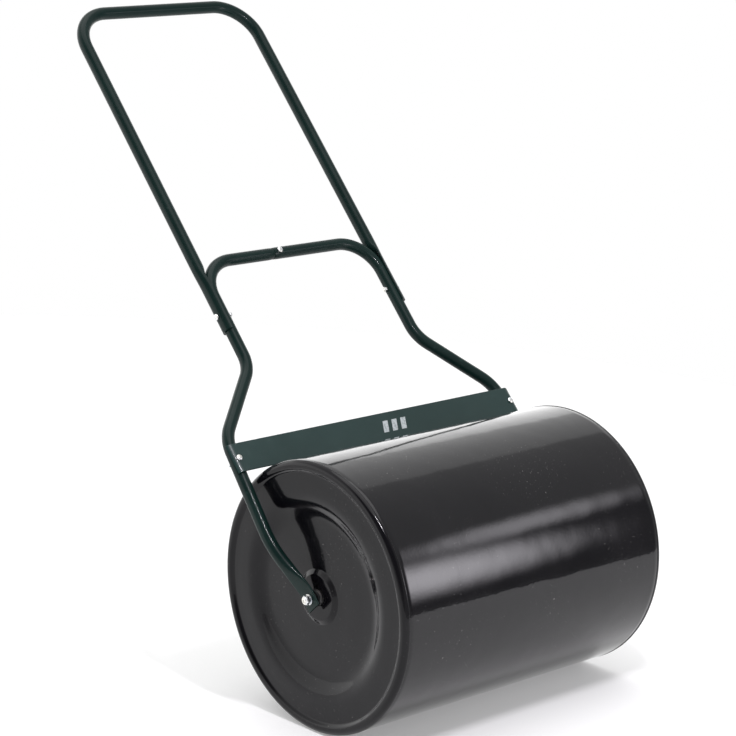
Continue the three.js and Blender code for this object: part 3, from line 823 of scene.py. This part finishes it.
finished(printed_bars(), "frame", "green_paint", white_print())
for side, word in ((-1, "left"), (1, "right")):
    bolt_x = side * scraper_bolt_x
    fixing("scraper", f"_{word}", leaning(bolt_x, scraper_bolt_rise, front_face + seat_gap),
           leaning(bolt_x, scraper_bolt_rise, -tube_radius - seat_gap), front_frame)

# ---------------------------------------------------------------------------------------------
# Upper handle. One long tube bent into a U, whose ends are pressed into saddles that grip the
# outer sides of the lower tubes, with a bolt through each.
handle_radius = 0.0101
handle_half = 0.1735
grip_rise = 1.043
saddle_end = 0.443
saddle_top, round_again = 0.518, 0.560
saddle_inner = tube_radius + 0.0005
saddle_outer = saddle_inner + 2 * tube_wall + 0.0002
saddle_spread = math.radians(76)
handle_bolt_rise = 0.470
yoke_half = 0.169


def handle_rings(columns=48):
    """Rings of the handle: round, but blended on each leg into a crescent centred on the lower tube.
    The crescent is two arcs of different radius over the same spread, joined at their ends."""
    line, heading = bent_line([
        (handle_half, saddle_end, 0),
        (handle_half, grip_rise, 0.065),
        (-handle_half, grip_rise, 0.065),
        (-handle_half, saddle_end, 0),
    ], 3.0, 0.006)
    angle = (-math.pi / 2 + (np.arange(columns) + 0.5) * 2 * math.pi / columns)[None, :]
    turn = np.arcsin(np.sin(angle))
    spread = turn / (math.pi / 2 - math.pi / columns) * saddle_spread
    radius = np.where(np.cos(angle) > 0, saddle_outer, saddle_inner)
    leg = np.abs(line[:, :1]) > handle_half - 0.0005
    saddle = np.where(leg, 1 - smooth_step((line[:, 1:] - saddle_top) / (round_again - saddle_top)), 0)
    pressed = yoke_half - handle_half + radius * np.cos(spread)
    across = handle_radius * np.cos(angle) * (1 - saddle) + pressed * saddle
    front = handle_radius * np.sin(angle) * (1 - saddle) + radius * np.sin(spread) * saddle
    return leaning(line[:, :1] + heading[:, 1:] * across, line[:, 1:] - heading[:, :1] * across, front)


handle = skinned("upper_handle_bent", handle_rings(), sharp=50)
finished(handle, "frame", "green_paint", tube_green, "upper_handle")
for side, word in ((-1, "left"), (1, "right")):
    crest = side * (yoke_half + saddle_outer + seat_gap)
    inboard = side * (yoke_half - tube_radius - seat_gap)
    fixing("handle", f"_{word}", leaning(crest, handle_bolt_rise, 0),
           leaning(inboard, handle_bolt_rise, 0), (side, 0, 0))

# ---------------------------------------------------------------------------------------------
# Studio. A wide pale floor under a pale sky that is darker in front of the roller, with a bright
# low backdrop behind it and dark corners in front for the black paint to reflect. Two fading
# panels light the drum's front, a small strong one the tubes, and a broad sun the floor.
floor_radius = 2.6
floor_middle = (-0.7, 1.0)
floor_turn = np.arange(128) * 2 * math.pi / 128
floor_edge = np.stack([floor_middle[0] + floor_radius * np.cos(floor_turn),
                       floor_middle[1] + floor_radius * np.sin(floor_turn), 0 * floor_turn], -1)
floor_mesh = bpy.data.meshes.new("floor")
floor_mesh.from_pydata(floor_edge.tolist(), [], [tuple(range(128))])
floor = bpy.data.objects.new("floor", floor_mesh)
bpy.context.scene.collection.objects.link(floor)
floor_paint = Finish("floor_paint")
floor_mesh.materials.append(floor_paint.wire(
    Base_Color=floor_paint.mixed(floor_paint.noise(3, 2), (0.74, 0.74, 0.74), (0.76, 0.76, 0.76)),
    Roughness=0.9, Specular_IOR_Level=0.1, Emission_Color=(1, 1, 1, 1), Emission_Strength=0.25))

sky = bpy.data.worlds.new("sky")
sky.use_nodes = True
sky_tree = sky.node_tree
sky_way = sky_tree.nodes.new("ShaderNodeTexCoord").outputs["Generated"]
bpy.context.scene.world = sky


def sky_step(value, gone, full):
    """0 where value has reached gone, 1 where it has reached full, smooth between."""
    node = sky_tree.nodes.new("ShaderNodeMapRange")
    node.interpolation_type = "SMOOTHSTEP"
    node.inputs["From Min"].default_value = gone
    node.inputs["From Max"].default_value = full
    sky_tree.links.new(value, node.inputs["Value"])
    return node.outputs["Result"]


def sky_along(way):
    """How far each direction of the sky points along a given way: their dot product."""
    node = sky_tree.nodes.new("ShaderNodeVectorMath")
    node.operation = "DOT_PRODUCT"
    sky_tree.links.new(sky_way, node.inputs[0])
    node.inputs[1].default_value = Vector(way).normalized()
    return node.outputs["Value"]


def sky_shade(level, amount, new_level):
    """Moves the sky's brightness to new_level by amount."""
    node = sky_tree.nodes.new("ShaderNodeMix")
    for socket, value in zip(node.inputs[:4], (amount, None, level, new_level)):
        if isinstance(value, float):
            socket.default_value = value
        elif value is not None:
            sky_tree.links.new(value, socket)
    return node.outputs[0]


def spread(degrees):
    """Cosine of an angle in degrees."""
    return math.cos(math.radians(degrees))


backdrop = sky_tree.nodes.new("ShaderNodeMath")
backdrop.operation = "MULTIPLY"
sky_tree.links.new(sky_step(sky_along((0, 0, 1)), 0.44, 0.40), backdrop.inputs[0])
sky_tree.links.new(sky_step(sky_along((0, 1, 0)), 0.10, 0.40), backdrop.inputs[1])
front_level, back_level, backdrop_level = 0.60, 1.02, 1.7
low_corner, low_level = (0.67, -0.73, 0.10), 0.22
high_corner, high_level = (-0.62, -0.45, 0.64), 0.15
low_lobe = sky_step(sky_along(low_corner), spread(30), spread(17))
high_lobe = sky_step(sky_along(high_corner), spread(52), spread(30))
brightness = sky_shade(front_level, sky_step(sky_along((0, 1, 0)), 0.19, 0.23), back_level)
brightness = sky_shade(brightness, backdrop.outputs[0], backdrop_level)
brightness = sky_shade(brightness, low_lobe, low_level)
brightness = sky_shade(brightness, high_lobe, high_level)
seen = sky_tree.nodes.new("ShaderNodeLightPath").outputs["Is Camera Ray"]
brightness = sky_shade(brightness, seen, 1.0)
sky_tree.links.new(brightness, sky_tree.nodes["Background"].inputs["Strength"])
sky_tree.nodes["Background"].inputs["Color"].default_value = (1, 1, 1, 1)
bpy.context.scene.view_settings.view_transform = "Standard"


def panel(name, place, aim, width, height, radiance, upward=(0, 0, 1), fades=False):
    """A soft rectangular light facing aim, its height along upward. A fading one is brightest in
    its middle and falls off smoothly to nothing half its width and height away."""
    light = bpy.data.lights.new(name, "AREA")
    light.shape = "RECTANGLE"
    light.size, light.size_y = width, height
    light.energy = radiance * math.pi * width * height
    light.color = (0.97, 0.94, 1.0)
    behind = (Vector(place) - Vector(aim)).normalized()
    side = Vector(upward).cross(behind).normalized()
    lamp = bpy.data.objects.new(name, light)
    lamp.matrix_world = Matrix.Translation(place) @ Matrix(
        (side, behind.cross(side), behind)).transposed().to_4x4()
    lamp.visible_camera = False
    bpy.context.scene.collection.objects.link(lamp)
    if fades:
        light.use_nodes = True
        tree = light.node_tree
        shape = tree.nodes.new("ShaderNodeVectorMath")
        shape.operation = "DISTANCE"
        shape.inputs[1].default_value = (0.5, 0.5, 0)
        tree.links.new(tree.nodes.new("ShaderNodeNewGeometry").outputs["Parametric"], shape.inputs[0])
        fall = tree.nodes.new("ShaderNodeMapRange")
        fall.interpolation_type = "SMOOTHERSTEP"
        fall.inputs["From Min"].default_value = 0.5
        fall.inputs["From Max"].default_value = 0.0
        tree.links.new(shape.outputs["Value"], fall.inputs["Value"])
        tree.links.new(fall.outputs["Result"], tree.nodes["Emission"].inputs["Strength"])
    return lamp


drum_front = (0, -0.19, 0.27)
panel("front_softbox", (0.97, -1.57, 0.63), drum_front, 1.05, 1.2, 9.0, fades=True)
panel("upper_softbox", (1.60, -1.57, 1.40), drum_front, 1.0, 0.75, 4.2, fades=True)
panel("high_strip", (-0.40, -0.90, 1.85), (-0.27, 0, 0.25), 0.05, 0.35, 300.0, (0, 1, 0))

overhead_data = bpy.data.lights.new("overhead", "SUN")
overhead_data.energy = 1.2
overhead_data.angle = math.radians(60)
overhead = bpy.data.objects.new("overhead", overhead_data)
bpy.context.scene.collection.objects.link(overhead)
